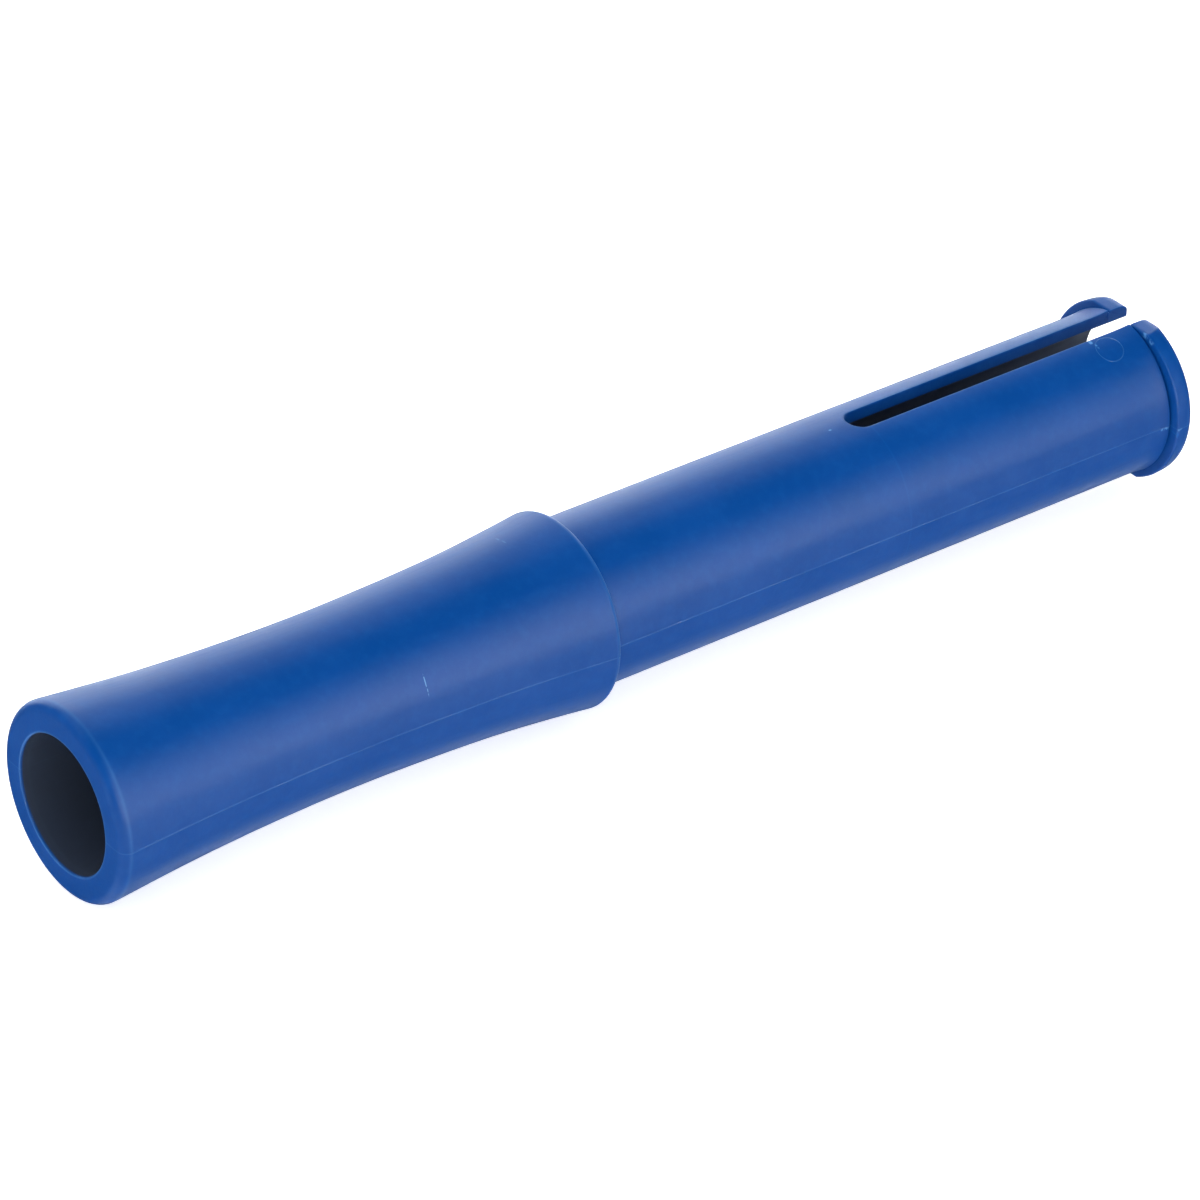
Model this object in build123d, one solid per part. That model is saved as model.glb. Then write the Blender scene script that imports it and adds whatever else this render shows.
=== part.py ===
from build123d import *
import os

# Hand dispenser handle for a small roll of stretch film: a hollow hourglass grip and a
# split spindle. +X runs along the axis from the mouth to the tip, +Z points at one slot
# and the origin is the middle of the mouth. Millimetres.

# Spindle: a round tube that takes a cardboard core with a 38 mm hole.
SPINDLE_RADIUS = 18.25
SPINDLE_BORE_RADIUS = 15.3
SHOULDER_X = 121.4
TIP_X = 277.6
ROOT_FILLET = 0.6

# Slots: two, opposite each other, open at the tip and rounded at the closed end.
SLOT_WIDTH = 6.7
SLOT_CLOSED_X = 196.4
SLOT_END_RADIUS = SLOT_WIDTH / 2
FINGER_ROOT_X = SLOT_CLOSED_X + SLOT_END_RADIUS

# Grip: an hourglass with a rolled rim at the mouth and a soft shoulder at the spindle.
MOUTH_BORE_RADIUS = 14.85
BORE_STEP_X = 112.0
BORE_STEP_LENGTH = 6.0
RIM_ROUND = 2.6
SHOULDER_ROUND = 1.4
GRIP_RADII = (21.2, 19.53, 18.53, 18.15, 18.49, 19.42, 21.3)

# Retaining lips: a ledge on each finger, round but set off towards the middle of the
# finger, flat beside the slots, and tapered and rounded so that a core slides on.
LIP_FRONT_X = 272.3
LIP_LENGTH = TIP_X - LIP_FRONT_X
LIP_RADIUS = 19.75
LIP_OFFSET = 0.95
LIP_TAPER = 0.4
LIP_HALF_WIDTH = 18.0
LIP_BACK_ROUND = 2.3
LIP_BORE_ROUND = 0.3

# Larger than the handle is wide, for tools that cut right across it.
OVERCUT = 30.0

SIDES = {"near": -1, "far": 1}


def disc_along_x(radius, start, end):
    """Solid cylinder on the handle's axis."""
    return extrude(Plane.YZ.offset(start) * Circle(radius), amount=end - start)


def one_side(side, start, end):
    """The block beyond the slots' side faces, on one side of the handle."""
    centre = Pos((start + end) / 2, side * (SLOT_WIDTH / 2 + OVERCUT / 2), 0)
    return centre * Box(end - start, OVERCUT, 2 * OVERCUT)


def grip():
    """Hourglass sleeve, with the bore widening a little before the spindle."""
    first = RIM_ROUND
    last = SHOULDER_X - SHOULDER_ROUND
    pitch = (last - first) / (len(GRIP_RADII) - 1)
    waist_points = [(first + i * pitch, r) for i, r in enumerate(GRIP_RADII)]
    face_edge = (0, GRIP_RADII[0] - RIM_ROUND)
    shoulder_edge = (SHOULDER_X, GRIP_RADII[-1] - SHOULDER_ROUND)
    rim = TangentArc(face_edge, waist_points[0], tangent=(0, 1))
    waist = Spline(waist_points)
    shoulder = TangentArc(shoulder_edge, waist_points[-1], tangent=(0, 1))
    inside = Polyline(
        shoulder_edge,
        (SHOULDER_X, SPINDLE_BORE_RADIUS),
        (BORE_STEP_X + BORE_STEP_LENGTH, SPINDLE_BORE_RADIUS),
        (BORE_STEP_X, MOUTH_BORE_RADIUS),
        (0, MOUTH_BORE_RADIUS),
        face_edge,
    )
    outline = Wire([rim.edge(), waist.edge(), shoulder.edge(), *inside.edges()])
    return revolve(make_face(outline), Axis.X)


def spindle():
    """Full-round length of the tube, up to where the fingers begin."""
    foot_top = (SHOULDER_X, SPINDLE_RADIUS + ROOT_FILLET)
    foot_end = (SHOULDER_X + ROOT_FILLET, SPINDLE_RADIUS)
    foot = TangentArc(foot_top, foot_end, tangent=(0, -1))
    wall = Polyline(
        foot_end,
        (FINGER_ROOT_X, SPINDLE_RADIUS),
        (FINGER_ROOT_X, SPINDLE_BORE_RADIUS),
        (SHOULDER_X, SPINDLE_BORE_RADIUS),
        foot_top,
    )
    tube = revolve(make_face(Wire([foot.edge(), *wall.edges()])), Axis.X)
    slot_ends = Pos(FINGER_ROOT_X, 0, 0) * Cylinder(SLOT_END_RADIUS, 2 * OVERCUT)
    return tube - slot_ends


def finger(side):
    """Half of the split tube, which springs inwards from its root."""
    wall = disc_along_x(SPINDLE_RADIUS, FINGER_ROOT_X, LIP_FRONT_X)
    hollow = disc_along_x(SPINDLE_BORE_RADIUS, FINGER_ROOT_X, LIP_FRONT_X)
    return (wall - hollow) & one_side(side, FINGER_ROOT_X, LIP_FRONT_X)


def lip(side):
    """End block of a finger, with the ledge that keeps the core on."""
    centre = Pos(LIP_FRONT_X + LIP_LENGTH / 2, side * LIP_OFFSET, 0) * Rot(0, 90, 0)
    ledge = centre * Cone(LIP_RADIUS, LIP_RADIUS - LIP_TAPER, LIP_LENGTH)
    flats = Pos(LIP_FRONT_X + LIP_LENGTH / 2, 0, 0) * Box(LIP_LENGTH, 2 * OVERCUT, 2 * LIP_HALF_WIDTH)
    block = ledge & flats & one_side(side, LIP_FRONT_X, TIP_X)
    back = block.faces().sort_by(Axis.X)[-1]
    slot_edge = back.edges().sort_by(Axis.Y)[0 if side > 0 else -1]
    block = fillet([edge for edge in back.edges() if edge != slot_edge], LIP_BACK_ROUND)
    block = block - disc_along_x(SPINDLE_BORE_RADIUS, LIP_FRONT_X, TIP_X)
    bore_edge = block.edges().filter_by(GeomType.CIRCLE).filter_by(
        lambda edge: abs(edge.radius - SPINDLE_BORE_RADIUS) < 1e-6 and edge.center().X > TIP_X - 1e-3
    )
    return fillet(bore_edge, LIP_BORE_ROUND)


os.makedirs("parts", exist_ok=True)
export_step(grip(), "parts/grip.step")
export_step(spindle(), "parts/spindle.step")
for name, side in SIDES.items():
    export_step(finger(side), f"parts/finger_{name}.step")
    export_step(lip(side), f"parts/lip_{name}.step")
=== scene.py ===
import math

import bmesh
import bpy
import numpy as np
from mathutils import Matrix, Vector


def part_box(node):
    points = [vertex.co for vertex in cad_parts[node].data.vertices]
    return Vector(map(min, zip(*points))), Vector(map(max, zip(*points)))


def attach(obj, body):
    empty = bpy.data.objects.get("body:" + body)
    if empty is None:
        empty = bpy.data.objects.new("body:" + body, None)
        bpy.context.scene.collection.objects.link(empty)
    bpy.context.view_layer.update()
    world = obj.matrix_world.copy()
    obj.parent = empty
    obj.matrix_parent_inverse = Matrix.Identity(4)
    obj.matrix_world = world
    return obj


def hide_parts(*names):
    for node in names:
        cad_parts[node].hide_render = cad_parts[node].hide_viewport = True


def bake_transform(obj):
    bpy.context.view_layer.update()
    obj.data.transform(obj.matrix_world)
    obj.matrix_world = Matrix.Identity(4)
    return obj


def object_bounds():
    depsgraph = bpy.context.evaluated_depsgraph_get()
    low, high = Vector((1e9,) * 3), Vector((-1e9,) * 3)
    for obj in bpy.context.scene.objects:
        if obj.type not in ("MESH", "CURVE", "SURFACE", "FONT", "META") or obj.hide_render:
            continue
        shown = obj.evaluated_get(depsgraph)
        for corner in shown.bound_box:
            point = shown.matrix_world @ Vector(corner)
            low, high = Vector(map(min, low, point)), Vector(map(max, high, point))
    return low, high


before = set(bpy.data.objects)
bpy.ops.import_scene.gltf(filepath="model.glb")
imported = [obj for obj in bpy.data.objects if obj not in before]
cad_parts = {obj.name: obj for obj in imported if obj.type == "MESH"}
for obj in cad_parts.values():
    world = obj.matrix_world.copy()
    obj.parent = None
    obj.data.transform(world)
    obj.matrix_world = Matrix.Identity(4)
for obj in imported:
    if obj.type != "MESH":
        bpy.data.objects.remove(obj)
cad_low, cad_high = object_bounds()

# Lengths are in metres. +X runs from the mouth to the tip, and +Z through the middle of
# one slot, so the fingers are on the -Y (near) and +Y (far) sides.
MM = 0.001

# Places taken from the frame.
SHOULDER_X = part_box("grip")[1][0]
ROOT_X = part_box("finger_near")[0][0]
LIP_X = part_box("lip_near")[0][0]
TIP_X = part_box("lip_near")[1][0]
FLOOR_Z = cad_low[2]

# The moulding's own sizes.
TUBE_RADIUS = 18.25 * MM
TUBE_BORE = 15.3 * MM
MOUTH_BORE = 14.85 * MM
BORE_STEP_X = 112 * MM
BORE_STEP_LENGTH = 6 * MM
HALF_SLOT = 3.35 * MM
FOOT_FILLET = 0.6 * MM
RIM_ROUND = 2.3 * MM
RIM_RADIUS = 21.2 * MM
MOUTH_EDGE = 0.3 * MM
SHOULDER_ROUND = 1.4 * MM
WAIST_START_X = 2.6 * MM
GRIP_RADII = [r * MM for r in (21.2, 19.53, 18.53, 18.15, 18.49, 19.42, 21.3)]
LIP_RADIUS = 19.75 * MM
LIP_OFFSET = 0.95 * MM
LIP_TAPER = 0.4 * MM
LIP_HALF_WIDTH = 18.0 * MM
LIP_FRONT_ROUND = 0.45 * MM
LIP_FLAT_SHARE = 0.64
FLARE_HEIGHT = 0.3 * MM
FLARE_LENGTH = 6 * MM
GROOVE_DEPTH = 0.35 * MM
GROOVE_LENGTH = 0.45 * MM
# The lip's free end is rounded by a quarter ellipse, which is shallower on the flats.
LIP_NOSE_LENGTH = 2.8 * MM
LIP_NOSE_DEPTH = 2.4 * MM
LIP_BORE_ROUND = 0.3 * MM
EDGE_ROUND = 0.22 * MM

# The mould's parting line runs along both sides of the handle, in the plane z = 0.
SEAM_HEIGHT = 0.06 * MM
SEAM_WIDTH = 0.10 * MM

# The finely divided square of tube around the closed end of each slot.
PATCH = 9 * MM

SIDES = {"near": -1, "far": 1}


# ------------------------------------------------------------------- mesh helpers


def add_grid(bm, rows, close_rows=False, close_columns=False):
    """Quads between rows of points. close_rows joins each row's end to its start, and
    close_columns joins the last row to the first."""
    rings = [[bm.verts.new(point) for point in row] for row in rows]
    if close_columns:
        rings.append(rings[0])
    for lower, upper in zip(rings, rings[1:]):
        count = len(lower)
        for j in range(count if close_rows else count - 1):
            k = (j + 1) % count
            bm.faces.new((lower[j], lower[k], upper[k], upper[j]))


def new_piece(name, bm, material, closed=True, sharp_degrees=38):
    """Welds the patches, closes their open ends and makes the object."""
    bmesh.ops.remove_doubles(bm, verts=bm.verts, dist=2e-7)
    open_edges = [edge for edge in bm.edges if edge.is_boundary]
    if closed and open_edges:
        bmesh.ops.holes_fill(bm, edges=open_edges, sides=0)
    bmesh.ops.recalc_face_normals(bm, faces=bm.faces)
    mesh = bpy.data.meshes.new(name)
    bm.to_mesh(mesh)
    bm.free()
    mesh.shade_smooth()
    mesh.set_sharp_from_angle(angle=math.radians(sharp_degrees))
    mesh.materials.append(material)
    piece = bpy.data.objects.new(name, mesh)
    bpy.context.scene.collection.objects.link(piece)
    return piece


def arc(centre, radius, start, end, count):
    """Points on a circular arc, with angles in degrees from the first axis."""
    angles = np.radians(np.linspace(start, end, count))
    return [(centre[0] + radius * math.cos(a), centre[1] + radius * math.sin(a)) for a in angles]


def natural_spline(start, end, values, places):
    """Natural cubic spline through evenly spaced values."""
    pitch = (end - start) / (len(values) - 1)
    inner = len(values) - 2
    matrix = 4 * np.eye(inner) + np.eye(inner, k=1) + np.eye(inner, k=-1)
    bends = 6 / pitch**2 * np.diff(values, 2)
    second = np.concatenate([[0], np.linalg.solve(matrix, bends), [0]])
    out = []
    for place in places:
        i = min(int((place - start) / pitch), len(values) - 2)
        b = (place - start) / pitch - i
        a = 1 - b
        cubic = (a**3 - a) * second[i] + (b**3 - b) * second[i + 1]
        out.append(a * values[i] + b * values[i + 1] + cubic * pitch**2 / 6)
    return out


def seam(angle):
    """How far the surface stands proud at an angle from the parting line."""
    distance = angle * TUBE_RADIUS / SEAM_WIDTH
    return SEAM_HEIGHT * math.exp(-distance * distance)


def side_angles(half_span, count=96):
    """Angles either side of the parting line, closer together beside it."""
    fine = np.radians([0.1, 0.2, 0.32, 0.46, 0.65, 0.9])
    coarse = np.linspace(fine[-1] * 1.4, half_span, count // 2)
    right = [*fine, *coarse]
    return np.array([*[-a for a in reversed(right)], 0.0, *right])


def on_tube(x, side, angle, radius):
    """A point of a round surface, angle measured from the middle of a side towards +Z."""
    return (x, side * radius * math.cos(angle), radius * math.sin(angle))


# ------------------------------------------------------------------------- the skins


def grip_profile():
    """The grip's closed section as (x, r, 1 where the parting line shows)."""
    mouth = arc((MOUTH_EDGE, MOUTH_BORE + MOUTH_EDGE), MOUTH_EDGE, 270, 180, 5)
    face = [(0, r) for r in np.linspace(MOUTH_BORE + 2 * MOUTH_EDGE, RIM_RADIUS - RIM_ROUND, 6)[:-1]]
    rim = arc((RIM_ROUND, RIM_RADIUS - RIM_ROUND), RIM_ROUND, 180, 84, 18)
    last = SHOULDER_X - SHOULDER_ROUND
    places = np.linspace(WAIST_START_X + 0.6 * MM, last - 0.6 * MM, 150)
    waist = list(zip(places, natural_spline(WAIST_START_X, last, GRIP_RADII, places)))
    shoulder_centre = (last, GRIP_RADII[-1] - SHOULDER_ROUND)
    shoulder = arc(shoulder_centre, SHOULDER_ROUND, 97, 0, 14)
    end_face = [(SHOULDER_X, TUBE_RADIUS + FOOT_FILLET), (SHOULDER_X, TUBE_BORE)]
    step_end = BORE_STEP_X + BORE_STEP_LENGTH
    bore = [(step_end, TUBE_BORE), (BORE_STEP_X, MOUTH_BORE)]
    bore += [(x, MOUTH_BORE) for x in np.linspace(BORE_STEP_X, 2 * MM, 30)[1:]]
    plain = [(x, r, 0) for x, r in mouth + face]
    proud = [(x, r, 1) for x, r in rim[4:] + waist + shoulder[:10]]
    return plain + [(x, r, 0) for x, r in rim[:4]] + proud + [
        (x, r, 0) for x, r in shoulder[10:] + end_face + bore
    ]


def grip_skin(material):
    half = side_angles(math.pi / 2)
    turns = [(-1, a) for a in half[:-1]] + [(1, -a) for a in half[:-1]]
    rows = []
    for x, r, proud in grip_profile():
        # -1 runs from -Z over -Y to +Z, and 1 on from +Z over +Y back to -Z
        row = [on_tube(x, side, a, min(r + proud * seam(a), GRIP_RADII[-1])) for side, a in turns]
        rows.append(row)
    bm = bmesh.new()
    add_grid(bm, rows, close_rows=True, close_columns=True)
    return new_piece("grip_skin", bm, material)


def slot_edge_section():
    """The wall's section across a slot's edge: distance from the slot's middle, radius."""
    outer = arc((HALF_SLOT + EDGE_ROUND, TUBE_RADIUS - EDGE_ROUND), EDGE_ROUND, 90, 180, 5)
    inner = arc((HALF_SLOT + EDGE_ROUND, TUBE_BORE + EDGE_ROUND), EDGE_ROUND, 180, 270, 5)
    wall = np.linspace(outer[-1][1], inner[0][1], 5)[1:-1]
    return outer + [(HALF_SLOT, r) for r in wall] + inner


def slot_end_patch(bm, up):
    """The square of tube around one slot's round closed end."""
    rays = np.radians(np.linspace(-90, 90, 65))

    def point(ray, reach, radius):
        y = reach * math.sin(ray)
        return (ROOT_X - reach * math.cos(ray), y, up * math.sqrt(radius**2 - y**2))

    section = slot_edge_section()
    add_grid(bm, [[point(ray, d, r) for d, r in section] for ray in rays])
    for radius in (TUBE_RADIUS, TUBE_BORE):
        rows = []
        for ray in rays:
            edge = PATCH / max(abs(math.cos(ray)), abs(math.sin(ray)))
            reaches = np.linspace(HALF_SLOT + EDGE_ROUND, edge, 12)
            rows.append([point(ray, reach, radius) for reach in reaches])
        add_grid(bm, rows)


def spindle_skin(material):
    bm = bmesh.new()
    slants = np.radians(np.linspace(-45, 45, 33))
    across = [PATCH * math.tan(a) for a in slants]
    beside = [ROOT_X - PATCH / math.tan(a) for a in np.radians(np.linspace(45, 90, 17))]
    foot = arc((SHOULDER_X + FOOT_FILLET, TUBE_RADIUS + FOOT_FILLET), FOOT_FILLET, 180, 270, 7)
    foot_x = SHOULDER_X + FOOT_FILLET
    lengthwise = np.linspace(foot_x, ROOT_X - PATCH, 50)
    outer_rows = foot + [(x, TUBE_RADIUS) for x in lengthwise[1:]]
    inner_rows = [(x, TUBE_BORE) for x in np.linspace(SHOULDER_X, ROOT_X - PATCH, 50)]
    foot_ring = []
    for rows, proud in ((outer_rows, 1), (inner_rows, 0)):
        end_radius = rows[-1][1]
        span = math.pi / 2 - math.asin(PATCH / end_radius)
        angles = side_angles(span)
        ring_rows = []
        for x, r in rows:
            near = [on_tube(x, -1, a, r + proud * seam(a)) for a in angles]
            far = [on_tube(x, 1, -a, r + proud * seam(a)) for a in angles]
            scale = r / end_radius
            top = [(x, y * scale, r * math.sqrt(1 - (y / end_radius) ** 2)) for y in across]
            bottom = [(p[0], -p[1], -p[2]) for p in top]
            ring_rows.append([*near[:-1], *top[:-1], *far[:-1], *bottom[:-1]])
        add_grid(bm, ring_rows, close_rows=True)
        foot_ring.append(ring_rows[0])
        for side in SIDES.values():
            skin = [(a, end_radius + proud * seam(a)) for a in angles]
            add_grid(bm, [[on_tube(x, side, a, r) for a, r in skin] for x in beside])
    for up in (1, -1):
        slot_end_patch(bm, up)
    add_grid(bm, foot_ring, close_rows=True)
    return new_piece("spindle_skin", bm, material)


def finger_section(side):
    """Closed outline of half of the split tube, in the plane across the axis."""
    edge = slot_edge_section()
    reach = HALF_SLOT + EDGE_ROUND
    outer = [(TUBE_RADIUS + seam(a), a) for a in side_angles(math.acos(reach / TUBE_RADIUS))]
    inner = [(TUBE_BORE, a) for a in side_angles(math.acos(reach / TUBE_BORE), 64)]
    top = [(side * d, math.sqrt(r * r - d * d)) for d, r in edge]
    bottom = [(y, -z) for y, z in reversed(top)]
    rounds = [(side * r * math.cos(a), r * math.sin(a)) for r, a in outer]
    hollow = [(side * r * math.cos(a), r * math.sin(a)) for r, a in reversed(inner)]
    return top[:-1] + hollow[:-1] + bottom[:-1] + rounds[:-1]


def flared(x, y, z):
    """A point of the split tube, whose outside opens out a little before the lip and then
    drops into a narrow groove."""
    left = LIP_X - x
    rise = FLARE_HEIGHT * max(0, 1 - left / FLARE_LENGTH) ** 2
    if left < GROOVE_LENGTH:
        rise = -GROOVE_DEPTH
    radius = math.hypot(y, z)
    depth = (radius - TUBE_BORE) / (TUBE_RADIUS - TUBE_BORE)
    scale = 1 + rise * depth / radius
    return (x, y * scale, z * scale)


def finger_skin(name, side, material):
    bm = bmesh.new()
    section = finger_section(side)
    brink = LIP_X - GROOVE_LENGTH
    places = [*np.linspace(ROOT_X, brink, 120), brink + 0.08 * MM, LIP_X]
    rows = [[flared(x, y, z) for y, z in section] for x in places]
    add_grid(bm, rows, close_rows=True)
    return new_piece(f"finger_skin_{name}", bm, material)


def lip_outline(side, radius, half_width, offset):
    """The lip's outer edge across the axis: flat beside each slot, round between."""
    corner = math.asin(half_width / radius) if half_width < radius else math.pi / 2
    reach = HALF_SLOT + EDGE_ROUND
    corner_y = offset + radius * math.cos(corner)
    flat = [(side * y, half_width) for y in np.linspace(reach, corner_y, 14)[:-1]]
    curve = []
    for a in side_angles(corner)[::-1]:
        proud = radius + seam(a)
        curve.append((side * (offset + proud * math.cos(a)), proud * math.sin(a)))
    return flat + curve + [(y, -z) for y, z in reversed(flat)]


def round_outline(side, radius, like):
    """A round edge about the axis with as many points as an outline, and in step with it."""
    reach = HALF_SLOT + EDGE_ROUND
    most = math.acos(reach / radius)
    turns = [math.atan2(z, side * y) for y, z in like]
    share = most / turns[0]
    return [(side * radius * math.cos(a * share), radius * math.sin(a * share)) for a in turns]


def lip_rows(side):
    """The lip's skin from its front corner over the ledge and round into the bore."""
    outline = lip_outline(side, LIP_RADIUS, LIP_HALF_WIDTH, LIP_OFFSET)
    length = TIP_X - LIP_X
    rows = [(LIP_X, round_outline(side, TUBE_RADIUS - GROOVE_DEPTH, outline))]
    for x, inset in arc((LIP_FRONT_ROUND, LIP_FRONT_ROUND), LIP_FRONT_ROUND, 180, 270, 4):
        taper = LIP_TAPER * x / length
        radius = LIP_RADIUS - taper - inset
        rows.append((LIP_X + x, lip_outline(side, radius, LIP_HALF_WIDTH - inset, LIP_OFFSET)))
    straight_end = length - LIP_NOSE_LENGTH
    nose = arc((0, 1), 1, 270, 360, 14)
    back = [(straight_end + x * LIP_NOSE_LENGTH, inset * LIP_NOSE_DEPTH) for x, inset in nose]
    steps = [(x, 0) for x in np.linspace(LIP_FRONT_ROUND + 0.3 * MM, straight_end, 8)[:-1]] + back
    for x, inset in steps:
        radius = LIP_RADIUS - LIP_TAPER * x / length - inset
        half_width = LIP_HALF_WIDTH - LIP_FLAT_SHARE * inset
        rows.append((LIP_X + x, lip_outline(side, radius, half_width, LIP_OFFSET)))
    corner = (length - LIP_BORE_ROUND, TUBE_BORE + LIP_BORE_ROUND)
    for x, radius in arc(corner, LIP_BORE_ROUND, 0, -90, 7):
        rows.append((LIP_X + x, round_outline(side, radius, outline)))
    rows.append((LIP_X, round_outline(side, TUBE_BORE, outline)))
    return [[(x, y, z) for y, z in points] for x, points in rows]


def lip_skin(name, side, material):
    bm = bmesh.new()
    rows = lip_rows(side)
    add_grid(bm, rows, close_columns=True)
    # The two faces in the slots, with a small round all the way along their free edges.
    for end in (0, -1):
        rim = np.array([row[end] for row in rows])
        middle = (rim.min(0) + rim.max(0)) / 2
        half = (rim.max(0) - rim.min(0)) / 2
        steps = []
        for turn in np.radians([0, 22.5, 45, 67.5, 90]):
            inset = EDGE_ROUND * (1 - math.cos(turn))
            inner = rim.copy()
            inner[:, 0] = LIP_X + (rim[:, 0] - LIP_X) * (1 - inset / (2 * half[0]))
            inner[:, 1] = rim[:, 1] - side * EDGE_ROUND * math.sin(turn)
            inner[:, 2] = middle[2] + (rim[:, 2] - middle[2]) * (1 - inset / half[2])
            steps.append([tuple(point) for point in inner])
        add_grid(bm, steps, close_rows=True)
    return new_piece(f"lip_skin_{name}", bm, material)


# ------------------------------------------------------------------------ materials


class Nodes:
    """Short calls for building one material's node tree."""

    def __init__(self, name):
        self.material = bpy.data.materials.new(name)
        self.material.use_nodes = True
        self.tree = self.material.node_tree
        self.shader = self.tree.nodes["Principled BSDF"]

    def add(self, kind, **inputs):
        node = self.tree.nodes.new(kind)
        for key, value in inputs.items():
            node.inputs[key.replace("_", " ")].default_value = value
        return node

    def link(self, source, target):
        self.tree.links.new(source, target)

    def noise(self, place, scale, detail=3.0, roughness=0.55, stretch=(1, 1, 1)):
        mapping = self.add("ShaderNodeMapping")
        mapping.inputs["Scale"].default_value = stretch
        self.link(place, mapping.inputs["Vector"])
        node = self.add("ShaderNodeTexNoise", Scale=scale, Detail=detail, Roughness=roughness)
        self.link(mapping.outputs["Vector"], node.inputs["Vector"])
        return node.outputs["Fac"]

    def ramp(self, factor, low, high, start, end):
        """Maps the factor's range low..high to start..end, clamped."""
        node = self.add("ShaderNodeMapRange")
        node.inputs["From Min"].default_value = low
        node.inputs["From Max"].default_value = high
        node.inputs["To Min"].default_value = start
        node.inputs["To Max"].default_value = end
        self.link(factor, node.inputs["Value"])
        return node.outputs["Result"]

    def math(self, operation, a, b):
        node = self.tree.nodes.new("ShaderNodeMath")
        node.operation = operation
        for socket, value in zip(node.inputs, (a, b)):
            if isinstance(value, (int, float)):
                socket.default_value = value
            else:
                self.link(value, socket)
        return node.outputs["Value"]

    def mix(self, factor, a, b):
        node = self.tree.nodes.new("ShaderNodeMix")
        node.data_type = "RGBA"
        colours = [s for s in node.inputs if s.type == "RGBA"]
        self.link(factor, node.inputs["Factor"])
        for socket, value in zip(colours, (a, b)):
            if isinstance(value, tuple):
                socket.default_value = value
            else:
                self.link(value, socket)
        return next(s for s in node.outputs if s.type == "RGBA")

    def vector(self, operation, a, b, output="Vector"):
        node = self.tree.nodes.new("ShaderNodeVectorMath")
        node.operation = operation
        self.link(a, node.inputs[0])
        node.inputs[1].default_value = b
        return node.outputs[output]

    def spot(self, place, centre, reach, strength):
        """A soft ellipsoid: strength in its middle and nothing beyond its reach."""
        offset = self.vector("DIVIDE", self.vector("SUBTRACT", place, centre), reach)
        return self.ramp(self.vector("LENGTH", offset, (0, 0, 0), "Value"), 0.55, 1.0, strength, 0)

    def bump(self, height, distance, strength=1.0, normal=None):
        node = self.add("ShaderNodeBump", Strength=strength, Distance=distance)
        self.link(height, node.inputs["Height"])
        if normal is not None:
            self.link(normal, node.inputs["Normal"])
        return node.outputs["Normal"]


# Feature sizes of the plastic's textures, in cycles per metre, and heights of its bumps.
CLOUD_SCALE = 55
MOTTLE_SCALE = 420
PEEL_SCALE = 900
RAGGED_SCALE = 1300
SCUFF_SCALE = 1500
GRAIN_SCALE = 3800
PEEL_HEIGHT = 0.012 * MM
GRAIN_HEIGHT = 0.004 * MM
SCUFF_HEIGHT = 0.003 * MM
WITNESS_HEIGHT = 0.05 * MM
PLASTIC_IOR = 1.49

BASE_BLUE = (0.0014, 0.0650, 0.305, 1)
PALE_BLUE = (0.008, 0.115, 0.430, 1)
DEEP_BLUE = (0.0010, 0.0590, 0.282, 1)
# pale blue for the marks and for the painted highlights
MARK_AND_HIGHLIGHT_BLUE = (0.110, 0.330, 0.680, 1)
# grey for the bore: painted shade and sheen on the inner surfaces
BORE_SHADE_AND_SHEEN_GREY = (0.0450, 0.0500, 0.0480, 1)


def around(x, turn, radius):
    """A point of the surface, in mm, with the turn in degrees from +Y over +Z."""
    angle = math.radians(turn)
    return (x * MM, radius * math.cos(angle) * MM, radius * math.sin(angle) * MM)


# Pale marks on the surface: middle, reach along and across in mm, strength.
PALE_MARKS = (
    # a scratch round the waist
    (around(75.4, 151.5, 18.2), (0.16, 1.7, 1.7), 0.9),
    (around(75.5, 158.0, 18.2), (0.13, 1.4, 1.4), 0.7),
    # knocks near the shoulder and beside the slot's closed end
    (around(108.0, 79.5, 19.8), (0.30, 1.1, 1.1), 0.25),
    (around(108.2, 84.5, 19.8), (0.25, 1.0, 1.0), 0.22),
    (around(191.4, 91.2, 18.25), (0.45, 0.3, 0.3), 0.8),
    # flash torn off at the slot's edge, at the lip's front corner and on the parting line
    (around(260.3, 103.0, 18.25), (0.55, 0.7, 0.7), 0.9),
    (around(260.9, 108.0, 18.25), (0.28, 1.1, 1.1), 0.7),
    (around(272.3, 115.0, 19.5), (0.30, 1.1, 1.1), 0.8),
    (around(272.4, 121.5, 19.6), (0.25, 0.9, 0.9), 0.6),
    (around(270.6, 181.0, 18.25), (1.40, 0.5, 0.5), 0.8),
    (around(273.0, 180.5, 20.7), (0.80, 0.4, 0.4), 0.7),
)

# Painted highlights, as paler bands round the handle: place along it, half width in mm, strength.
PAINTED_HIGHLIGHT_BANDS = (
    (2.0, 0.6, 0.18),
    (120.7, 0.9, 0.20),
)

# Painted highlight lines beside the slots and round the mouth's inner edge, and the pale
# line along the mould's parting line.
SLOT_HIGHLIGHT_MIDDLE = 3.55 * MM
SLOT_HIGHLIGHT_STRENGTH = 0.3
MOUTH_HIGHLIGHT_MIDDLE = 15.1 * MM
MOUTH_HIGHLIGHT_STRENGTH = 0.3
HIGHLIGHT_LINE_WIDTH = 0.16 * MM
PARTING_LINE_WIDTH = 0.2 * MM
PARTING_LINE_STRENGTH = 0.17

# The round witness line that an ejector pin left on the near finger.
WITNESS_MIDDLE = around(263.1, 113.2, 18.25)
WITNESS_RADIUS = 3.2 * MM
WITNESS_WIDTH = 0.16 * MM
WITNESS_STRENGTH = 0.2


def witness_line(n, place):
    """1 on the ejector pin's line, falling to 0 on both sides of it."""
    offset = n.vector("SUBTRACT", place, WITNESS_MIDDLE)
    distance = n.vector("LENGTH", offset, (0, 0, 0), "Value")
    gap = n.math("ABSOLUTE", n.math("SUBTRACT", distance, WITNESS_RADIUS), 0)
    return n.ramp(gap, 0, WITNESS_WIDTH, 1, 0)


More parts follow.
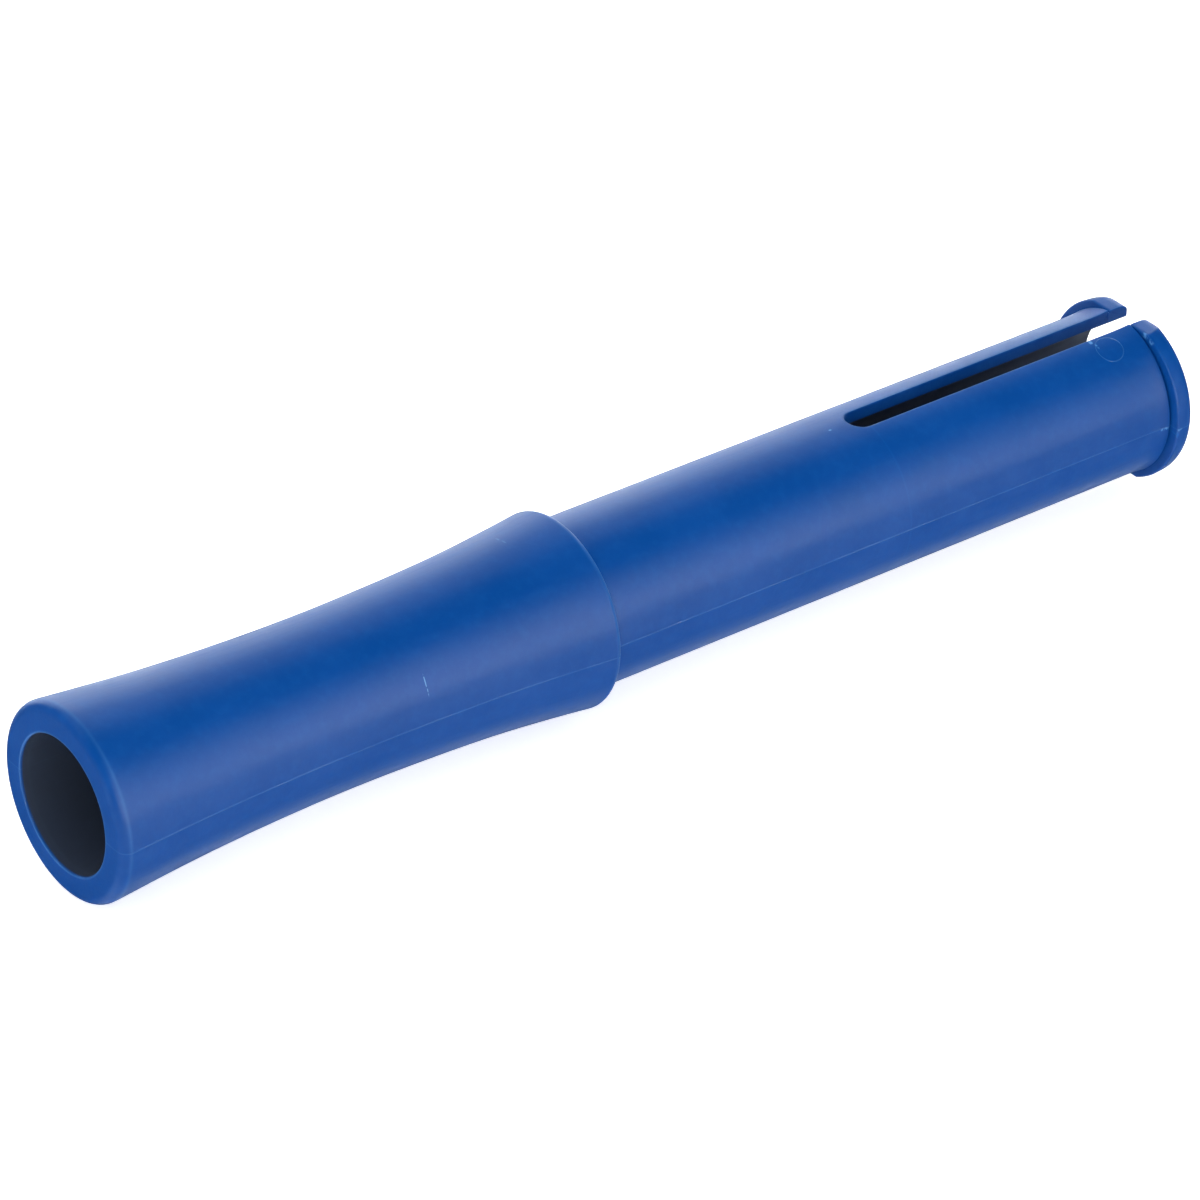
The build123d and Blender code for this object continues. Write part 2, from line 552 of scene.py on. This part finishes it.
def distance_from_axis(n, parts):
    """How far a point is from the handle's axis."""
    squares = [n.math("MULTIPLY", parts[k], parts[k]) for k in "YZ"]
    return n.math("SQRT", n.math("ADD", *squares), 0)


def band(n, value, middle, half_width, strength):
    """Strength where a value is at the middle, falling to 0 at half_width from it."""
    gap = n.math("ABSOLUTE", n.math("SUBTRACT", value, middle), 0)
    return n.ramp(gap, 0, half_width, strength, 0)


def highlights_and_parting_line(n, parts, from_axis):
    """The masks of the painted highlight bands and edge lines, and of the paler parting line, one
    after the other.
    """
    # painted highlight bands round the handle
    for middle, half_width, strength in PAINTED_HIGHLIGHT_BANDS:
        yield band(n, parts["X"], middle * MM, half_width * MM, strength)
    # painted highlight along the slots' edges
    across = n.math("ABSOLUTE", parts["Y"], 0)
    slot_highlight = band(n, across, SLOT_HIGHLIGHT_MIDDLE, HIGHLIGHT_LINE_WIDTH, SLOT_HIGHLIGHT_STRENGTH)
    yield n.math("MULTIPLY", slot_highlight, n.ramp(parts["X"], ROOT_X, ROOT_X + MM, 0, 1))
    # painted highlight round the mouth's inner edge
    mouth = band(n, from_axis, MOUTH_HIGHLIGHT_MIDDLE, 2 * HIGHLIGHT_LINE_WIDTH, MOUTH_HIGHLIGHT_STRENGTH)
    yield n.math("MULTIPLY", mouth, n.ramp(parts["X"], 0.3 * MM, 0.6 * MM, 1, 0))
    # the paler line of flash along the parting line
    yield band(n, parts["Z"], 0, PARTING_LINE_WIDTH, PARTING_LINE_STRENGTH)


def moulded_plastic(name, roughness):
    """Dyed polypropylene: cloudy colour, fine orange-peel, drawn scuffs, pale marks and edges,
    painted highlight bands and lines, and a bore greyed by painted shade and sheen."""
    n = Nodes(name)
    place = n.add("ShaderNodeTexCoord").outputs["Object"]
    cloud = n.noise(place, CLOUD_SCALE, detail=2.0)
    mottle = n.noise(place, MOTTLE_SCALE, detail=3.0, roughness=0.6)
    peel = n.noise(place, PEEL_SCALE, detail=2.0)
    grain = n.noise(place, GRAIN_SCALE, detail=2.0, roughness=0.7)
    scuffs = n.noise(place, SCUFF_SCALE, detail=4.0, roughness=0.65, stretch=(0.05, 1, 1))
    edges = n.add("ShaderNodeNewGeometry").outputs["Pointiness"]

    dye_and_highlights = n.mix(n.ramp(cloud, 0.35, 0.65, 0, 1), DEEP_BLUE, BASE_BLUE)
    dye_and_highlights = n.mix(n.ramp(mottle, 0.45, 0.8, 0, 0.25), dye_and_highlights, PALE_BLUE)
    wear = n.ramp(edges, 0.53, 0.62, 0, 0.7)
    dye_and_highlights = n.mix(wear, dye_and_highlights, PALE_BLUE)
    ragged = n.ramp(n.noise(place, RAGGED_SCALE, detail=2.0), 0.40, 0.52, 0, 1)
    for middle, reach, strength in PALE_MARKS:
        size = tuple(length * MM for length in reach)
        mark = n.math("MULTIPLY", n.spot(place, middle, size, strength), ragged)
        dye_and_highlights = n.mix(mark, dye_and_highlights, MARK_AND_HIGHLIGHT_BLUE)
    witness = witness_line(n, place)
    dye_and_highlights = n.mix(n.math("MULTIPLY", witness, WITNESS_STRENGTH), dye_and_highlights, MARK_AND_HIGHLIGHT_BLUE)
    split = n.tree.nodes.new("ShaderNodeSeparateXYZ")
    n.link(place, split.inputs["Vector"])
    parts = {key: split.outputs[key] for key in "XYZ"}
    from_axis = distance_from_axis(n, parts)
    uneven = n.ramp(cloud, 0.4, 0.6, 0.6, 1)
    # painted highlights, and the paler parting line, in the mark colour
    for edge in highlights_and_parting_line(n, parts, from_axis):
        dye_and_highlights = n.mix(n.math("MULTIPLY", edge, uneven), dye_and_highlights, MARK_AND_HIGHLIGHT_BLUE)
    # painted shade and sheen: the inner surfaces of the bore turn grey
    bore_shade_mask = n.ramp(from_axis, TUBE_BORE, TUBE_BORE + 0.2 * MM, 0.85, 0)
    bore_shade_mask = n.math("MULTIPLY", bore_shade_mask, n.ramp(parts["X"], 0.3 * MM, 0.7 * MM, 0, 1))
    n.link(n.mix(bore_shade_mask, dye_and_highlights, BORE_SHADE_AND_SHEEN_GREY), n.shader.inputs["Base Color"])

    rough = n.math("ADD", n.ramp(cloud, 0.3, 0.7, -0.03, 0.03), roughness)
    rough = n.math("ADD", rough, n.ramp(mottle, 0.3, 0.7, -0.02, 0.03))
    rough = n.math("ADD", rough, n.ramp(scuffs, 0.5, 0.72, 0, 0.06))
    n.link(rough, n.shader.inputs["Roughness"])

    normal = n.bump(peel, PEEL_HEIGHT)
    normal = n.bump(grain, GRAIN_HEIGHT, normal=normal)
    normal = n.bump(scuffs, SCUFF_HEIGHT, normal=normal)
    normal = n.bump(witness, WITNESS_HEIGHT, normal=normal)
    n.link(normal, n.shader.inputs["Normal"])
    n.shader.inputs["IOR"].default_value = PLASTIC_IOR
    return n.material


def paper_floor():
    n = Nodes("pale_floor")
    place = n.add("ShaderNodeTexCoord").outputs["Object"]
    fibre = n.noise(place, 30, detail=3.0)
    tone = n.mix(n.ramp(fibre, 0.3, 0.7, 0, 1), (0.90, 0.905, 0.91, 1), (0.93, 0.93, 0.93, 1))
    n.link(tone, n.shader.inputs["Base Color"])
    n.shader.inputs["Roughness"].default_value = 0.9
    n.shader.inputs["Specular IOR Level"].default_value = 0.1
    n.shader.inputs["Emission Color"].default_value = (1, 1, 1, 1)
    n.shader.inputs["Emission Strength"].default_value = FLOOR_GLOW
    return n.material


# ---------------------------------------------------------------------------- stage


def floor_sheet():
    bm = bmesh.new()
    places = np.linspace(-3, 3, 13)
    add_grid(bm, [[(x, y, FLOOR_Z) for y in places] for x in places])
    floor = new_piece("floor", bm, paper_floor(), closed=False)
    floor.visible_glossy = False
    floor.visible_shadow = False


def area_light(name, heading, place, width, height, radiance, gloss, tint=(1, 1, 1)):
    """An even rectangle of light facing against heading, with its width along the handle
    or across it. It shows either only as gloss or only as plain light, so that the two
    are set apart."""
    data = bpy.data.lights.new(name, "AREA")
    data.shape = "RECTANGLE"
    data.size = width
    data.size_y = height
    data.energy = radiance * math.pi * width * height
    data.color = tint
    data.cycles.use_multiple_importance_sampling = False
    light = bpy.data.objects.new(name, data)
    heading = Vector(heading)
    sideways = Vector((0, 1, 0)) if abs(heading.x) > 0.5 else Vector((1, 0, 0))
    turn = Matrix((sideways, heading.cross(sideways), heading)).transposed()
    light.matrix_world = Matrix.Translation(place) @ turn.to_4x4()
    light.visible_camera = False
    light.visible_diffuse = not gloss
    light.visible_glossy = gloss
    bpy.context.scene.collection.objects.link(light)


def strip_light(name, start, end, radiance, left, right, tint):
    """A strip beside the handle, covering some of the way round it."""
    middle = math.radians((start + end) / 2)
    height = 2 * STRIP_DISTANCE * math.tan(math.radians((end - start) / 2))
    heading = Vector((0, math.cos(middle), math.sin(middle)))
    place = heading * STRIP_DISTANCE + Vector(((left + right) / 2, 0, 0))
    area_light(name, heading, place, right - left, height, radiance, gloss=True, tint=tint)


def light_tent():
    """Four walls and a ceiling of plain white light, down to the floor."""
    middle = (cad_low + cad_high) / 2
    half = TENT_HALF
    top = middle + Vector((0, 0, half))
    area_light("tent_top", (0, 0, 1), top, 2 * half, 2 * half, TENT_LIGHT, gloss=False)
    walls = {"left": (-1, 0, 0), "right": (1, 0, 0), "front": (0, -1, 0), "back": (0, 1, 0)}
    for name, heading in walls.items():
        place = middle + Vector(heading) * half + Vector((0, 0, half / 2))
        area_light(f"tent_{name}", heading, place, 2 * half, half, TENT_LIGHT, gloss=False)


def backdrop():
    """White behind everything; it gives no light."""
    world = bpy.data.worlds.new("studio")
    bpy.context.scene.world = world
    world.use_nodes = True
    world.node_tree.nodes["Background"].inputs["Color"].default_value = (1, 1, 1, 1)
    for ray in ("diffuse", "glossy", "transmission", "scatter"):
        setattr(world.cycles_visibility, ray, False)


TENT_HALF = 2.0
TENT_LIGHT = 1.10
STRIP_DISTANCE = 1.3
FLOOR_GLOW = 0.7

WHITE = (1, 1, 1)
COOL = (0.72, 0.84, 1)

# What the gloss shows, in turn round the handle: name, start and end in degrees from +Y
# over +Z, radiance, how far it reaches left and right along the handle in metres, tint.
GLOSS_STRIPS = (
    ("back_floor", -34, 0, 1.6, 0.0, 2.6, COOL),
    ("back_wall", 0, 40, 1.95, -0.3, 2.6, COOL),
    ("back_top", 40, 72, 0.76, -1.6, 2.6, COOL),
    ("front_fade", 122, 138, 0.45, -1.0, 1.3, WHITE),
    ("front_top", 138, 154, 1.2, -1.0, 1.3, WHITE),
    ("front_box", 154, 182, 1.9, -1.0, 1.3, WHITE),
    ("front_low", 182, 214, 0.75, 0.72, 1.0, WHITE),
    ("front_floor", 214, 250, 0.15, 0.7, 1.0, WHITE),
    ("under_front", 250, 272, 0.12, -1.0, 2.0, COOL),
    ("under", 272, 300, 0.6, -1.0, 2.0, COOL),
)


def camera():
    data = bpy.data.cameras.new("camera")
    data.sensor_width = 36
    data.lens = 191.2
    data.clip_end = 20
    view = bpy.data.objects.new("camera", data)
    view.location = (-0.5523, -0.8550, 0.7124)
    view.rotation_euler = [math.radians(a) for a in (56.869, -1.653, -37.591)]
    bpy.context.scene.collection.objects.link(view)
    bpy.context.scene.camera = view


# --------------------------------------------------------------------------- putting it together

camera()
backdrop()
floor_sheet()
light_tent()
for strip in GLOSS_STRIPS:
    strip_light(*strip)

grip_plastic = moulded_plastic("grip_plastic", 0.33)
spindle_plastic = moulded_plastic("spindle_plastic", 0.32)

grip = grip_skin(grip_plastic)
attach(grip, "handle")
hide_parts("grip")

spindle = spindle_skin(spindle_plastic)
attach(spindle, "handle")
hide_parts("spindle")

for name, side in SIDES.items():
    finger = finger_skin(name, side, spindle_plastic)
    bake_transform(finger)
    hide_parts(f"finger_{name}")

    lip = lip_skin(name, side, spindle_plastic)
    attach(lip, f"{name}_finger")
    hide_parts(f"lip_{name}")

bpy.context.scene.view_settings.view_transform = "Standard"
